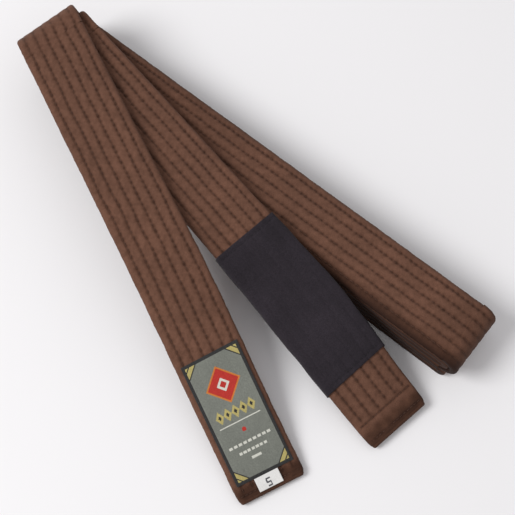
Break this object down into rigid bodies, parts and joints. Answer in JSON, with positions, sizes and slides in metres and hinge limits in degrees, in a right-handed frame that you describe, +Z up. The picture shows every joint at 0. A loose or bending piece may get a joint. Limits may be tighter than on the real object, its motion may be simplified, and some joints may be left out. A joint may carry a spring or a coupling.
{
  "type": "martial arts belt",
  "caption": "Quilted cotton martial arts belt, folded in layers with both ends fanned out; a sleeve bar near one tip, a woven label and size tag near the other.",
  "frame": {"origin": "middle of the underside of the folded belt, on the surface that it lies on", "axes": "+Z up, away from that surface; +X along the folded layers, from the fold that the free ends leave to the far fold; the free ends fan out towards -Y"},
  "size_m": [0.3342, 0.1754, 0.0456],
  "materials": {
    "belt_cotton": "brown cotton, quilted, matt",
    "core": "undyed cotton batting",
    "quilt_thread": "brown polyester thread",
    "rank_bar": "black cotton, matt",
    "bar_thread": "black polyester thread",
    "label": "woven satin damask, grey-green",
    "label_thread": "charcoal thread",
    "tag": "white satin tape"
  },
  "bodies": {
    "lower_layers": {"lower_layers_core_bottom_ply": "core", "lower_layers_core_top_ply": "core", "lower_layers_cover": "belt_cotton"},
    "upper_layers": {"upper_layer_bar_strand_core_bottom_ply": "core", "upper_layer_bar_strand_core_top_ply": "core", "upper_layer_bar_strand_cover": "belt_cotton", "upper_layer_label_strand_core_bottom_ply": "core", "upper_layer_label_strand_core_top_ply": "core", "upper_layer_label_strand_cover": "belt_cotton", "upper_layer_quilt_row_1": "quilt_thread", "upper_layer_quilt_row_2": "quilt_thread", "upper_layer_quilt_row_3": "quilt_thread", "upper_layer_quilt_row_4": "quilt_thread", "upper_layer_quilt_row_5": "quilt_thread", "upper_layer_quilt_row_6": "quilt_thread"},
    "label_end": {"label_end_core_bottom_ply": "core", "label_end_core_top_ply": "core", "label_end_cover": "belt_cotton", "label_end_quilt_row_1": "quilt_thread", "label_end_quilt_row_2": "quilt_thread", "label_end_quilt_row_3": "quilt_thread", "label_end_quilt_row_4": "quilt_thread", "label_end_quilt_row_5": "quilt_thread", "label_end_quilt_row_6": "quilt_thread", "label_end_tip_stitch_1": "quilt_thread", "size_tag": "tag", "woven_label": "label", "woven_label_stitch": "label_thread"},
    "bar_end": {"bar_end_core_bottom_ply": "core", "bar_end_core_top_ply": "core", "bar_end_cover": "belt_cotton", "bar_end_quilt_row_1": "quilt_thread", "bar_end_quilt_row_2": "quilt_thread", "bar_end_quilt_row_3": "quilt_thread", "bar_end_quilt_row_4": "quilt_thread", "bar_end_quilt_row_5": "quilt_thread", "bar_end_quilt_row_6": "quilt_thread", "bar_end_tip_stitch_1": "quilt_thread", "bar_end_tip_stitch_2": "quilt_thread", "rank_bar": "rank_bar", "rank_bar_stitch_1": "bar_thread", "rank_bar_stitch_2": "bar_thread"}
  },
  "joints": [
    {"name": "far_fold_opening", "type": "hinge", "parent": "lower_layers", "child": "upper_layers", "pos_m": [0.16458, 0.06663, 0.0213], "axis": [0, 1, 0], "range_deg": [0, 178]},
    {"name": "label_end_opening", "type": "hinge", "parent": "upper_layers", "child": "label_end", "pos_m": [-0.15841, 0.06836, 0.0334], "axis": [-0.2164, -0.9763, 0], "range_deg": [0, 178]},
    {"name": "bar_end_opening", "type": "hinge", "parent": "upper_layers", "child": "bar_end", "pos_m": [-0.15538, 0.0674, 0.0329], "axis": [-0.0958, -0.9954, 0], "range_deg": [0, 175]}
  ],
  "couplings": [
    {"joint": "bar_end_opening", "follows": "label_end_opening", "ratio": 0.95}
  ]
}
